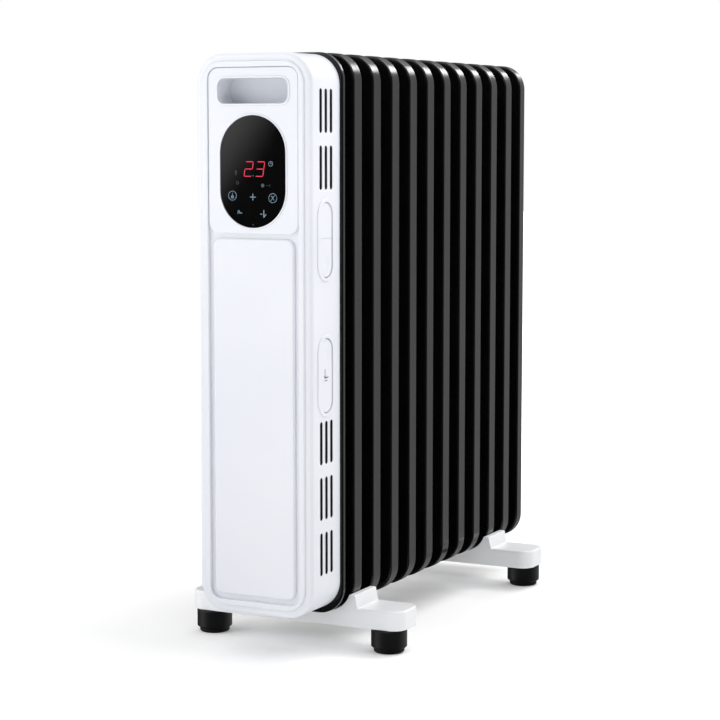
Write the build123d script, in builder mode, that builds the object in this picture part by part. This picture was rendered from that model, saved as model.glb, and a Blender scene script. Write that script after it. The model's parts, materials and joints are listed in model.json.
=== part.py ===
from build123d import *
import os

# Oil filled radiator heater: eleven black fins behind a white control housing, on two stand arms.
# Millimetres.  +Z is up, -Y is the front with the controls, +X is the side with the cord hooks.
# The origin is on the floor, under the centre of the whole heater.

os.makedirs("parts", exist_ok=True)

# ---------------------------------------------------------------- driving dimensions

LENGTH = 555.5          # front of the housing to the back of the last fin
FRONT_Y = -LENGTH / 2

# fin pack
FIN_COUNT = 11
FIN_PITCH = 45.0
FIN_WIDTH = 139.0
FIN_HEIGHT = 584.0
FIN_BOTTOM = 41.7
FIN_CORNER = 29.0
FIRST_FIN = 99.5        # depth of the first fin's middle plane behind the front
BAND = 18.9             # width of the folded edge band
LAST_FIN_REAR = 6.0     # the last fin's band ends here behind its middle plane
SHEET = 1.0
RIM = 13.0              # flat rim seen from the front and the back of each fin
RIM_SHEET = 0.8
CHANNEL_COUNT = 5
CHANNEL_PITCH = 20.0
CHANNEL_WIDTH = 14.0
CORE_HALF = 4.5         # half the thickness of an oil channel
CORE_SHEET = 0.8
CORE_CHAMFER = 1.0
BAND_FILLET = 2.0
CROSS_CHANNEL = 26.0    # height of the cross channel at each header
FRONT_NECK = 13.5       # the first fin's upper header ends this far in front of it
HEADER_INSET = 37.0     # header tubes' distance from the fin's top and bottom
HEADER_EMBOSS = 23.5
NECK_RADIUS = 22.0
BORE_RADIUS = 20.0

# control housing
HOUSING_WIDTH = 133.0
HOUSING_BOTTOM = 47.5
HOUSING_TOP = 623.5
HOUSING_CORNER = 31.0
BORDER_DEPTH = 2.0      # the outer border stands this far behind the raised ring
FRAME_DEPTH = 7.0       # parting line between the front frame and the side shell
SHELL_END = 59.5        # parting line between the side shell and the rear cover
COVER_END = 64.0
SHIELD_END = 69.2
WALL = 2.5
RING_INSET = 8.0
RING_WIDTH = 6.0
RING_INNER_CORNER = 12.0
MOAT_FLOOR = 3.6

# control fascia and display
FASCIA_WIDTH = 104.2
FASCIA_BOTTOM = 441.5
FASCIA_TOP = 609.2
FASCIA_CORNER = 11.5
FASCIA_FACE = 0.8
DISPLAY_WIDTH = 75.6
DISPLAY_HEIGHT = 113.3
DISPLAY_Z = 504.4
GLASS_FACE = 0.6
GLASS_BACK = 2.6
GLASS_LEDGE = 4.8
HANDLE_WIDTH = 81.4
HANDLE_HEIGHT = 25.5
HANDLE_Z = 585.5
HANDLE_CORNER = 8.0
HANDLE_DEPTH = 28.0
HANDLE_WALL = 2.0
KEYS = [(-23.8, 480.0), (0.0, 478.9), (23.0, 478.0), (-14.4, 463.1), (12.3, 461.6)]

# raised lower panel
PANEL_WIDTH = 94.0
PANEL_BOTTOM = 67.5
PANEL_TOP = 436.5
PANEL_CORNER = 9.0
PANEL_FACE = 0.3

# side vents and cord hooks
SIDE_DEPTH = 33.0       # middle of the side face's features behind the front
VENT_WIDTH = 6.0
VENT_HEIGHT = 44.5
VENT_PITCH = 11.2
VENT_ROWS = [565.5, 508.5, 228.5, 171.0, 113.5]
HOOK_WIDTH = 25.0
HOOK_HEIGHT = 75.5
HOOK_GAP = 0.8
UPPER_HOOK_Z = 435.4
LOWER_HOOK_Z = 297.2
HOOK_PLATE = 4.0
HOOK_SINK = 0.9         # the closed hook lies this far under its pocket's lip
HOOK_PIVOT_X = 60.5
HOOK_HUB = 4.2
HOOK_PIN = 1.5
HOOK_RUNNING = 0.08
HOOK_DIMPLE_OFFSET = 23.0
POCKET_WALL = 1.7
POCKET_LIP = 4.4
POCKET_PROUD = 1.0
POCKET_FLOOR_X = 33.5

# stand arms and feet
ARM_HALF = 128.0
ARM_WIDTH = 50.0
ARM_BOTTOM = 25.5
ARM_TOP = 46.5
ARM_CORNER = 16.0
FRONT_ARM = 106.5       # depth of each arm's middle line behind the front
REAR_ARM = 464.0
CRADLE_BASE = 78.0
CRADLE_HEAD = 74.5
CRADLE_TOP = 60.0
CRADLE_GAP = 0.6
FOOT_X = 106.4
FOOT_OUTWARD = 8.0      # feet stand this far outside their arm's middle line
BOLT_BEHIND = 15.5      # the stand's bolts pass this far behind a fin's middle plane
FOOT_RADIUS = 19.1
PAD_RADIUS = 16.3
PAD_HEIGHT = 5.6
STUD_RADIUS = 3.0
BOLT_RADIUS = 2.5
BOLT_CLEARANCE = 0.3

# heating element
TUBE_RADIUS = 4.0
TUBE_X = 9.0
TUBE_Z = 7.0
TUBE_END = 480.0
TUBE_START = 56.0

HOUSING_HEIGHT = HOUSING_TOP - HOUSING_BOTTOM
HOUSING_Z = (HOUSING_TOP + HOUSING_BOTTOM) / 2
FIN_Z = FIN_BOTTOM + FIN_HEIGHT / 2
FIN_TOP = FIN_BOTTOM + FIN_HEIGHT
LOW_HEADER = FIN_BOTTOM + HEADER_INSET
HIGH_HEADER = FIN_TOP - HEADER_INSET
HEADERS = [LOW_HEADER, HIGH_HEADER]
INNER_X = HOUSING_WIDTH / 2 - WALL
HEADER_PLACES = [(0, z) for z in HEADERS]
SIDE_Y = FRONT_Y + SIDE_DEPTH


# ---------------------------------------------------------------- helpers

def facing(depth):
    """Sketch plane parallel to the front, so deep behind it: local x is X, local y is Z."""
    return Plane.XZ.offset(-(FRONT_Y + depth))


def backward(length, **options):
    """Extrude a sketch made on facing() away from the front."""
    extrude(amount=-length, **options)


def discs(depth, length, radius, places, mode=Mode.ADD):
    """Round studs, or holes, that run backward from depth: one at each (x, z) place."""
    with BuildSketch(facing(depth)) as profile:
        with Locations(*places):
            Circle(radius)
    extrude(profile.sketch, amount=-length, mode=mode)


def hexagons(depth, length, radius, places):
    """Hexagon heads that run backward from depth: one at each (x, z) place."""
    with BuildSketch(facing(depth)) as profile:
        with Locations(*places):
            RegularPolygon(radius, 6)
    extrude(profile.sketch, amount=-length)


def blocks(depth, length, width, height, places):
    """Square-cornered blocks that run backward from depth: one at each (x, z) place."""
    with BuildSketch(facing(depth)) as profile:
        with Locations(*places):
            Rectangle(width, height)
    extrude(profile.sketch, amount=-length)


def uprights(bottom, length, radius, places, mode=Mode.ADD):
    """Round studs, or holes, that run upward from bottom: one at each (x, y) place."""
    with BuildSketch(Plane.XY.offset(bottom)) as profile:
        with Locations(*places):
            Circle(radius)
    extrude(profile.sketch, amount=length, mode=mode)


def side(x):
    """Sketch plane parallel to the side at x: local x is Y, local y is Z."""
    return Plane.YZ.offset(x)


def rounded(width, height, radius, x, z):
    with Locations((x, z)):
        RectangleRounded(width, height, radius)


def housing_outline(inset=0.0):
    """The housing's front outline, drawn in by inset."""
    rounded(
        HOUSING_WIDTH - 2 * inset,
        HOUSING_HEIGHT - 2 * inset,
        HOUSING_CORNER - inset,
        0,
        HOUSING_Z,
    )


def fin_outline(inset=0.0):
    """The outline that every fin shares, drawn in by inset."""
    rounded(FIN_WIDTH - 2 * inset, FIN_HEIGHT - 2 * inset, FIN_CORNER - inset, 0, FIN_Z)


def pill(width, height, y, z):
    """Upright stadium on a side() plane."""
    with Locations((y, z)):
        SlotOverall(height, width, rotation=90)


def save(shape, name):
    shape.label = name
    export_step(shape, f"parts/{name}.step")


def together(shapes):
    """Identical loose pieces that share one node."""
    return Compound(children=list(shapes))


# ---------------------------------------------------------------- fins

def build_fin(rear_edge, front_neck, rear_neck, bottom_neck=None):
    """One pressed and welded fin about its own middle plane, y = 0.

    Two steel sheets form the hollow oil channels and the headers, and their folded
    edges form the flat band round the outline.
    """
    front_edge = -BAND / 2
    depth = rear_edge - front_edge
    middle = Plane.XZ
    front = Plane.XZ.offset(-front_edge)
    with BuildPart() as fin:
        with BuildSketch(front):
            fin_outline()
        extrude(amount=-depth)
        band_edges = fin.edges().filter_by_position(Axis.Y, front_edge, front_edge)
        fillet(band_edges, BAND_FILLET)
        back_edges = fin.edges().filter_by_position(Axis.Y, rear_edge, rear_edge)
        fillet(back_edges, BAND_FILLET)
        with BuildSketch(Plane.XZ.offset(-(front_edge + RIM_SHEET))):
            fin_outline(SHEET)
        extrude(amount=-(depth - 2 * RIM_SHEET), mode=Mode.SUBTRACT)
        with BuildSketch(front):
            fin_outline(RIM)
        extrude(amount=-depth, mode=Mode.SUBTRACT)
        with BuildSketch(middle):
            fin_outline(SHEET)
        extrude(amount=SHEET / 2, both=True)
        with BuildSketch(middle):
            channel_outline(0)
        extrude(amount=CORE_HALF, both=True)
        channel_rims = fin.edges().filter_by_position(Axis.Y, -CORE_HALF, -CORE_HALF)
        channel_rims += fin.edges().filter_by_position(Axis.Y, CORE_HALF, CORE_HALF)
        core_zone = [e for e in channel_rims if abs(e.center().X) < FIN_WIDTH / 2 - RIM]
        chamfer(core_zone, CORE_CHAMFER)
        for z in HEADERS:
            neck = front_neck
            if z == LOW_HEADER and bottom_neck is not None:
                neck = bottom_neck
            with BuildSketch(Plane.XZ.offset(neck)):
                with Locations((0, z)):
                    Circle(NECK_RADIUS)
            extrude(amount=-(neck + rear_neck))
        with BuildSketch(middle):
            channel_outline(CORE_SHEET)
        extrude(amount=CORE_HALF - CORE_SHEET, both=True, mode=Mode.SUBTRACT)
        with BuildSketch(middle):
            with Locations(*HEADER_PLACES):
                Circle(BORE_RADIUS)
        extrude(amount=FIN_PITCH, both=True, mode=Mode.SUBTRACT)
    return fin


def channel_outline(inset):
    """Upright oil channels between the two headers, with a cross channel at each end."""
    last = (CHANNEL_COUNT - 1) / 2 * CHANNEL_PITCH
    width = CHANNEL_WIDTH - 2 * inset
    height = HIGH_HEADER - LOW_HEADER
    for number in range(CHANNEL_COUNT):
        with Locations((number * CHANNEL_PITCH - last, FIN_Z)):
            Rectangle(width, height)
    for z in HEADERS:
        with Locations((0, z)):
            SlotOverall(2 * last + width, CROSS_CHANNEL - 2 * inset)
            Circle(HEADER_EMBOSS - inset)


HALF_GAP = FIN_PITCH / 2
first_fin = build_fin(BAND / 2, front_neck=FRONT_NECK, rear_neck=HALF_GAP, bottom_neck=HALF_GAP)
middle_fin = build_fin(BAND / 2, front_neck=HALF_GAP, rear_neck=HALF_GAP)
last_fin = build_fin(LAST_FIN_REAR, front_neck=HALF_GAP, rear_neck=CORE_HALF)
fins = [first_fin] + (FIN_COUNT - 2) * [middle_fin] + [last_fin]
for number, fin in enumerate(fins):
    fin_y = FRONT_Y + FIRST_FIN + number * FIN_PITCH
    save(fin.part.moved(Location((0, fin_y, 0))), f"fin_{number + 1:02d}")

LAST_FIN = FIRST_FIN + (FIN_COUNT - 1) * FIN_PITCH
CAP_THICK = 3.0
CAP_RECESS = 1.0

with BuildPart() as header_end_caps:
    discs(LAST_FIN + CORE_HALF - CAP_RECESS - CAP_THICK, CAP_THICK, BORE_RADIUS, HEADER_PLACES)
save(header_end_caps.part, "header_end_caps")

PLUG_PLACE = [(0, HIGH_HEADER)]
PLUG_SEAT = FIRST_FIN - FRONT_NECK
PLUG_THREAD = 8.0
PLUG_FLANGE = 2.0
PLUG_HEX = 12.0
PLUG_HEX_HEIGHT = 7.0
PLUG_CHAMFER = 0.8

with BuildPart() as oil_fill_plug:
    discs(PLUG_SEAT, PLUG_THREAD, BORE_RADIUS, PLUG_PLACE)
    discs(PLUG_SEAT - PLUG_FLANGE, PLUG_FLANGE, NECK_RADIUS, PLUG_PLACE)
    hexagons(PLUG_SEAT - PLUG_FLANGE - PLUG_HEX_HEIGHT, PLUG_HEX_HEIGHT, PLUG_HEX, PLUG_PLACE)
    chamfer(oil_fill_plug.faces().sort_by(Axis.Y)[0].edges(), PLUG_CHAMFER)
save(oil_fill_plug.part, "oil_fill_plug")

# ---------------------------------------------------------------- heating element

ELEMENT_PLACE = [(0, LOW_HEADER)]
TUBE_PLACES = [(x, LOW_HEADER + z) for x in (-TUBE_X, TUBE_X) for z in (-TUBE_Z, TUBE_Z)]
NECK_FACE = FIRST_FIN - HALF_GAP
GASKET = 1.2
GASKET_RADIUS = NECK_RADIUS + 3.0
FLANGE_RADIUS = NECK_RADIUS + 4.0
FLANGE_THICK = 5.0
FLANGE_HEX = 25.0
FLANGE_HEX_HEIGHT = 8.0
FLANGE_CHAMFER = 1.2
SPIGOT_RADIUS = BORE_RADIUS - 0.3
SPIGOT_LENGTH = 12.0
GASKET_FACE = NECK_FACE - GASKET
FLANGE_FACE = GASKET_FACE - FLANGE_THICK
FLANGE_FRONT = FLANGE_FACE - FLANGE_HEX_HEIGHT

with BuildPart() as element_gasket:
    discs(GASKET_FACE, GASKET, GASKET_RADIUS, ELEMENT_PLACE)
    discs(GASKET_FACE, GASKET, BORE_RADIUS, ELEMENT_PLACE, mode=Mode.SUBTRACT)
save(element_gasket.part, "element_gasket")

with BuildPart() as element_flange:
    discs(FLANGE_FACE, FLANGE_THICK, FLANGE_RADIUS, ELEMENT_PLACE)
    hexagons(FLANGE_FRONT, FLANGE_HEX_HEIGHT, FLANGE_HEX, ELEMENT_PLACE)
    chamfer(element_flange.faces().sort_by(Axis.Y)[0].edges(), FLANGE_CHAMFER)
    discs(GASKET_FACE, GASKET + SPIGOT_LENGTH, SPIGOT_RADIUS, ELEMENT_PLACE)
    through = NECK_FACE + SPIGOT_LENGTH - FLANGE_FRONT
    discs(FLANGE_FRONT, through, TUBE_RADIUS, TUBE_PLACES, mode=Mode.SUBTRACT)
save(element_flange.part, "element_flange")

for x, name in ((-TUBE_X, "heating_element_low"), (TUBE_X, "heating_element_high")):
    start = FRONT_Y + TUBE_START
    bend = FRONT_Y + TUBE_END
    upper = LOW_HEADER + TUBE_Z
    lower = LOW_HEADER - TUBE_Z
    with BuildPart() as heating_tube:
        with BuildLine() as route:
            Line((x, start, upper), (x, bend, upper))
            ThreePointArc((x, bend, upper), (x, bend + TUBE_Z, LOW_HEADER), (x, bend, lower))
            Line((x, bend, lower), (x, start, lower))
        with BuildSketch(Plane(origin=(x, start, upper), z_dir=(0, 1, 0))):
            Circle(TUBE_RADIUS)
        sweep(path=route.wires()[0])
    save(heating_tube.part, name)

BEAD = 4.0
PIN_RADIUS = 1.3
PIN_LENGTH = 9.0
BEAD_FACE = TUBE_START - BEAD

with BuildPart() as terminal_insulators:
    discs(BEAD_FACE, BEAD, TUBE_RADIUS, TUBE_PLACES)
    discs(BEAD_FACE, BEAD, PIN_RADIUS, TUBE_PLACES, mode=Mode.SUBTRACT)
save(terminal_insulators.part, "terminal_insulators")

with BuildPart() as element_terminals:
    discs(BEAD_FACE - PIN_LENGTH, BEAD + PIN_LENGTH, PIN_RADIUS, TUBE_PLACES)
save(element_terminals.part, "element_terminals")

# ---------------------------------------------------------------- heat shield and rear cover

SPACER_PLACES = [(x, z) for x in (-52.0, 52.0) for z in (150.0, 520.0)]
SPACER_HOLE = 2.2
SPACER_BORE = 2.0
SPACER_RADIUS = 4.0
HEADER_HOLE = 29.0
SHIELD_FILLET = 2.0

with BuildPart() as heat_shield:
    shield_depth = SHIELD_END - COVER_END
    with BuildSketch(facing(COVER_END)):
        fin_outline()
    backward(shield_depth)
    fillet(heat_shield.faces().sort_by(Axis.Y)[0].edges(), SHIELD_FILLET)
    with BuildSketch(facing(COVER_END + SHEET)):
        fin_outline(SHEET)
    backward(shield_depth, mode=Mode.SUBTRACT)
    discs(COVER_END, shield_depth, HEADER_HOLE, HEADER_PLACES, mode=Mode.SUBTRACT)
    discs(COVER_END, shield_depth, SPACER_HOLE, SPACER_PLACES, mode=Mode.SUBTRACT)
save(heat_shield.part, "heat_shield")

# screw bosses that hold the rear cover on the side shell
BOSS_PLACES = [(x, z) for x in (-56.0, 56.0) for z in (69.0, 602.0)]
BOSS_PLACES += [(x, 366.0) for x in (-58.5, 58.5)]
BOSS_RADIUS = 6.5
BOSS_TIP_RADIUS = 5.0
BOSS_START = FRAME_DEPTH + 4.0
SCREW_RADIUS = 1.6
SCREW_HOLE = 1.7
SCREW_LENGTH = 17.0
SCREW_BORE_START = FRAME_DEPTH + 12.0
SCREW_HEAD = 3.1
SCREW_HEAD_HEIGHT = 0.9
COUNTERBORE = 3.4
COUNTERBORE_DEPTH = 1.0

PLATE_FACE = COVER_END - WALL
COVER_FILLET = 1.2
CUTOUT_Z = 150.0
CUTOUT_HOLE = 12.0
SLOT_ROWS = 6
SLOT_FIRST_Z = 205.0
SLOT_PITCH = 60.0
SLOT_LENGTH = 60.0
SLOT_WIDTH = 5.0

BOARD_BACK = 51.6
BOARD_THICK = 1.6
BOARD_X = -12.0
BOARD_Z = 310.0
BOARD_WIDTH = 80.0
BOARD_HEIGHT = 140.0
BOARD_MARGIN = 5.0
BOARD_HOLE_X = BOARD_WIDTH / 2 - BOARD_MARGIN
BOARD_HOLE_Z = BOARD_HEIGHT / 2 - BOARD_MARGIN
BOARD_HOLES = [
    (BOARD_X + x, BOARD_Z + z)
    for x in (-BOARD_HOLE_X, BOARD_HOLE_X)
    for z in (-BOARD_HOLE_Z, BOARD_HOLE_Z)
]
STANDOFF_RADIUS = 3.5
BOARD_SCREW = 1.4

# mains cord inlet
CORD_X = -25.0
CORD_DEPTH = 38.0
CORD_BORE = 3.7
CLAMP_Z = 68.0
CLAMP_WIDTH = 20.0
CLAMP_HEIGHT = 9.0
CLAMP_THICK = 11.0
CLAMP_SEAT = 42.0
CLAMP_FILLET = 1.5

with BuildPart() as rear_cover:
    with BuildSketch(facing(SHELL_END)):
        housing_outline()
    backward(COVER_END - SHELL_END)
    fillet(rear_cover.faces().sort_by(Axis.Y)[-1].edges(), COVER_FILLET)
    with BuildSketch(facing(SHELL_END)):
        housing_outline(WALL)
    backward(PLATE_FACE - SHELL_END, mode=Mode.SUBTRACT)
    with BuildSketch(facing(PLATE_FACE)):
        with Locations(*HEADER_PLACES):
            Circle(HEADER_HOLE)
        with Locations((0, CUTOUT_Z)):
            Circle(CUTOUT_HOLE)
        with Locations(*SPACER_PLACES):
            Circle(SPACER_HOLE)
        with Locations(*BOSS_PLACES):
            Circle(SCREW_HOLE)
        with Locations(*[(0, SLOT_FIRST_Z + SLOT_PITCH * row) for row in range(SLOT_ROWS)]):
            SlotOverall(SLOT_LENGTH, SLOT_WIDTH)
    backward(WALL, mode=Mode.SUBTRACT)
    discs(COVER_END - COUNTERBORE_DEPTH, COUNTERBORE_DEPTH, COUNTERBORE, BOSS_PLACES, mode=Mode.SUBTRACT)
    with BuildSketch(facing(BOARD_BACK)):
        with Locations(*BOARD_HOLES):
            Circle(STANDOFF_RADIUS)
            Circle(BOARD_SCREW, mode=Mode.SUBTRACT)
    backward(PLATE_FACE - BOARD_BACK)
    blocks(CLAMP_SEAT, PLATE_FACE - CLAMP_SEAT, CLAMP_WIDTH, CLAMP_HEIGHT, [(CORD_X, CLAMP_Z)])
save(rear_cover.part, "rear_cover")

SHIELD_BACK = COVER_END + SHEET
FIN_WEB_FACE = FIRST_FIN - SHEET / 2
MOUNT_HEAD_HEIGHT = 2.2
MOUNT_HEAD_FILLET = 1.2

with BuildPart() as mount_spacers:
    spacer_length = FIN_WEB_FACE - SHIELD_BACK
    discs(SHIELD_BACK, spacer_length, SPACER_RADIUS, SPACER_PLACES)
    discs(SHIELD_BACK, spacer_length, SPACER_BORE, SPACER_PLACES, mode=Mode.SUBTRACT)
save(mount_spacers.part, "mount_spacers")

with BuildPart() as mount_screws:
    discs(PLATE_FACE - MOUNT_HEAD_HEIGHT, MOUNT_HEAD_HEIGHT, SPACER_RADIUS, SPACER_PLACES)
    fillet(mount_screws.faces().group_by(Axis.Y)[0].edges(), MOUNT_HEAD_FILLET)
    discs(PLATE_FACE, FIN_WEB_FACE - PLATE_FACE, SPACER_BORE, SPACER_PLACES)
save(mount_screws.part, "mount_screws")

# ---------------------------------------------------------------- side shell

HOOK_HEIGHTS = {"upper": UPPER_HOOK_Z, "lower": LOWER_HOOK_Z}
HOOK_PIVOTS = [(HOOK_PIVOT_X, hook_z) for hook_z in HOOK_HEIGHTS.values()]
CUP_WIDTH = HOOK_WIDTH + 2 * (HOOK_GAP + POCKET_WALL)
CUP_HEIGHT = HOOK_HEIGHT + 2 * (HOOK_GAP + POCKET_WALL)
CUP_CLEARANCE = 0.4
GLAND_PLACE = [(CORD_X, FRONT_Y + CORD_DEPTH)]
GLAND_NECK = 7.0
GLAND_KEY_CORNER = 2.5


def gland_key():
    """The square neck that keeps the gland from turning in the shell's floor."""
    with Locations(*GLAND_PLACE):
        RectangleRounded(2 * GLAND_NECK, 2 * GLAND_NECK, GLAND_KEY_CORNER)


with BuildPart() as housing_shell:
    with BuildSketch(facing(FRAME_DEPTH)):
        housing_outline()
    backward(SHELL_END - FRAME_DEPTH)
    with BuildSketch(facing(FRAME_DEPTH)):
        housing_outline(WALL)
    backward(SHELL_END - FRAME_DEPTH, mode=Mode.SUBTRACT)
    discs(BOSS_START, SHELL_END - BOSS_START, BOSS_RADIUS, BOSS_PLACES)
    discs(SHELL_END, PLATE_FACE - SHELL_END, BOSS_TIP_RADIUS, BOSS_PLACES)
    bore_length = PLATE_FACE - SCREW_BORE_START
    discs(SCREW_BORE_START, bore_length, SCREW_RADIUS, BOSS_PLACES, mode=Mode.SUBTRACT)
    with BuildSketch(side(-HOUSING_WIDTH / 2)):
        for row_z in VENT_ROWS:
            for column in (-1, 0, 1):
                pill(VENT_WIDTH, VENT_HEIGHT, SIDE_Y + column * VENT_PITCH, row_z)
    extrude(amount=HOUSING_WIDTH, mode=Mode.SUBTRACT)
    with BuildSketch(side(INNER_X)):
        for hook_z in HOOK_HEIGHTS.values():
            pill(CUP_WIDTH + CUP_CLEARANCE, CUP_HEIGHT + CUP_CLEARANCE, SIDE_Y, hook_z)
    extrude(amount=WALL, mode=Mode.SUBTRACT)
    with BuildSketch(Plane.XY.offset(HOUSING_BOTTOM)):
        gland_key()
    extrude(amount=WALL, mode=Mode.SUBTRACT)
save(housing_shell.part, "housing_shell")

with BuildPart() as cover_screws:
    discs(COVER_END - COUNTERBORE_DEPTH, SCREW_HEAD_HEIGHT, SCREW_HEAD, BOSS_PLACES)
    screw_start = COVER_END - COUNTERBORE_DEPTH - SCREW_LENGTH
    discs(screw_start, SCREW_LENGTH, SCREW_RADIUS, BOSS_PLACES)
save(cover_screws.part, "cover_screws")

# ---------------------------------------------------------------- cord hooks and their pockets

LIP_X = HOUSING_WIDTH / 2
POCKET_FACE_X = LIP_X + POCKET_PROUD
POCKET_LIP_Z = 2.2      # the lip is narrower above and below the hook than beside it
POCKET_CHAMFER = 0.7
POCKET_BACK_X = POCKET_FLOOR_X - POCKET_WALL

for position, hook_z in HOOK_HEIGHTS.items():
    with BuildPart() as pocket:
        with BuildSketch(side(LIP_X)):
            pill(CUP_WIDTH + 2 * POCKET_LIP, CUP_HEIGHT + 2 * POCKET_LIP_Z, SIDE_Y, hook_z)
        extrude(amount=POCKET_PROUD)
        chamfer(pocket.faces().sort_by(Axis.X)[-1].edges(), POCKET_CHAMFER)
        with BuildSketch(side(POCKET_BACK_X)):
            pill(CUP_WIDTH, CUP_HEIGHT, SIDE_Y, hook_z)
        extrude(amount=LIP_X - POCKET_BACK_X)
        with BuildSketch(side(POCKET_FLOOR_X)):
            pill(HOOK_WIDTH + 2 * HOOK_GAP, HOOK_HEIGHT + 2 * HOOK_GAP, SIDE_Y, hook_z)
        extrude(amount=POCKET_FACE_X - POCKET_FLOOR_X, mode=Mode.SUBTRACT)
        discs(0, SHELL_END, HOOK_PIN, [(HOOK_PIVOT_X, hook_z)], mode=Mode.SUBTRACT)
    save(pocket.part, f"{position}_hook_pocket")

with BuildPart() as hook_pins:
    discs(SIDE_DEPTH - CUP_WIDTH / 2, CUP_WIDTH, HOOK_PIN, HOOK_PIVOTS)
save(hook_pins.part, "hook_pins")

HOOK_FACE_X = POCKET_FACE_X - HOOK_SINK
HOOK_BACK_X = HOOK_FACE_X - HOOK_PLATE
HOOK_FILLET = 0.8
RIB_SINK = 5.0          # the cord lip and its rib reach this far behind the plate
RIB_ROOT = 0.5
LIP_WIDTH = 14.0
LIP_HEIGHT = 3.0
LIP_CORNER = 1.4
LIP_FROM_END = 9.0
RIB_WIDTH = 2.4
RIB_HEIGHT = 22.0
RIB_FROM_END = 19.0
DIMPLE_RADIUS = 30.0
DIMPLE_SINK = 0.8
GROOVE_WIDTH = 0.6
GROOVE_SINK = 0.3
GROOVE_RISE = 1.8


def build_hook(hook_z, outer):
    """Rocking cord hook: its dimpled end is pressed in and its outer end swings out.

    outer is +1 where the free end is the upper one, and -1 where it is the lower one.
    """
    free_end = hook_z + outer * HOOK_HEIGHT / 2
    dimple_z = hook_z - outer * HOOK_DIMPLE_OFFSET
    with BuildPart() as hook:
        with BuildSketch(side(HOOK_BACK_X)):
            pill(HOOK_WIDTH, HOOK_HEIGHT, SIDE_Y, hook_z)
        extrude(amount=HOOK_PLATE)
        fillet(hook.faces().sort_by(Axis.X)[-1].edges(), HOOK_FILLET)
        discs(SIDE_DEPTH - HOOK_WIDTH / 2, HOOK_WIDTH, HOOK_HUB, [(HOOK_PIVOT_X, hook_z)])
        with BuildSketch(side(HOOK_BACK_X - RIB_SINK)):
            with Locations((SIDE_Y, free_end - outer * LIP_FROM_END)):
                RectangleRounded(LIP_WIDTH, LIP_HEIGHT, LIP_CORNER)
            with Locations((SIDE_Y, free_end - outer * RIB_FROM_END)):
                Rectangle(RIB_WIDTH, RIB_HEIGHT)
        extrude(amount=RIB_SINK + RIB_ROOT)
        bore = HOOK_PIN + HOOK_RUNNING
        discs(0, SHELL_END, bore, [(HOOK_PIVOT_X, hook_z)], mode=Mode.SUBTRACT)
        with Locations((HOOK_FACE_X + DIMPLE_RADIUS - DIMPLE_SINK, SIDE_Y, dimple_z)):
            Sphere(DIMPLE_RADIUS, mode=Mode.SUBTRACT)
        if outer > 0:
            with BuildSketch(side(HOOK_FACE_X - GROOVE_SINK)):
                with Locations((SIDE_Y, hook_z + GROOVE_RISE)):
                    Rectangle(HOOK_WIDTH, GROOVE_WIDTH)
            extrude(amount=GROOVE_SINK, mode=Mode.SUBTRACT)
    return hook


save(build_hook(UPPER_HOOK_Z, 1).part, "upper_cord_hook")
save(build_hook(LOWER_HOOK_Z, -1).part, "lower_cord_hook")

# ---------------------------------------------------------------- front frame and lower panel

RING_OUTER_WIDTH = HOUSING_WIDTH - 2 * RING_INSET
RING_OUTER_HEIGHT = HOUSING_HEIGHT - 2 * RING_INSET
RING_INNER_WIDTH = RING_OUTER_WIDTH - 2 * RING_WIDTH
RING_INNER_HEIGHT = RING_OUTER_HEIGHT - 2 * RING_WIDTH
RING_FILLET = 1.6
RING_INNER_FILLET = 0.8
BORDER_FILLET = 4.4
FLOOR_BACK = FRAME_DEPTH - 1.4
FASCIA_Z = (FASCIA_TOP + FASCIA_BOTTOM) / 2
FASCIA_HEIGHT = FASCIA_TOP - FASCIA_BOTTOM
FASCIA_LEDGE = 4.5      # the fascia rests on this much of the front frame all round
FASCIA_HOLE_CORNER = 8.0
CLIP_THICK = 2.0
CLIP_WIDTH = 10.0
CLIP_REACH = 9.0
CLIP_GAP = 0.1
CLIP_X = INNER_X - CLIP_GAP - CLIP_THICK / 2
CLIP_PLACES = [(x, z) for x in (-CLIP_X, CLIP_X) for z in (120.0, 230.0, 480.0, 560.0)]
PANEL_Z = (PANEL_TOP + PANEL_BOTTOM) / 2
PANEL_CHAMFER = 1.6
PANEL_FILLET = 1.0

with BuildPart() as front_frame:
    with BuildSketch(facing(BORDER_DEPTH)):
        housing_outline()
    backward(FRAME_DEPTH - BORDER_DEPTH)
    fillet(front_frame.faces().sort_by(Axis.Y)[0].edges(), BORDER_FILLET)
    with BuildSketch(facing(0)):
        rounded(RING_OUTER_WIDTH, RING_OUTER_HEIGHT, HOUSING_CORNER - RING_INSET, 0, HOUSING_Z)
    backward(MOAT_FLOOR)
    fillet(front_frame.faces().sort_by(Axis.Y)[0].edges(), RING_FILLET)
    with BuildSketch(facing(0)):
        rounded(RING_INNER_WIDTH, RING_INNER_HEIGHT, RING_INNER_CORNER, 0, HOUSING_Z)
    backward(MOAT_FLOOR, mode=Mode.SUBTRACT)
    fillet(front_frame.faces().sort_by(Axis.Y)[0].inner_wires()[0].edges(), RING_INNER_FILLET)
    with BuildSketch(facing(FLOOR_BACK)):
        housing_outline(WALL)
    backward(FRAME_DEPTH - FLOOR_BACK, mode=Mode.SUBTRACT)
    with BuildSketch(facing(0)):
        rounded(
            FASCIA_WIDTH - 2 * FASCIA_LEDGE,
            FASCIA_HEIGHT - 2 * FASCIA_LEDGE,
            FASCIA_HOLE_CORNER,
            0,
            FASCIA_Z,
        )
    backward(FRAME_DEPTH, mode=Mode.SUBTRACT)
    blocks(FLOOR_BACK, CLIP_REACH, CLIP_THICK, CLIP_WIDTH, CLIP_PLACES)
save(front_frame.part, "front_frame")

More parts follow.
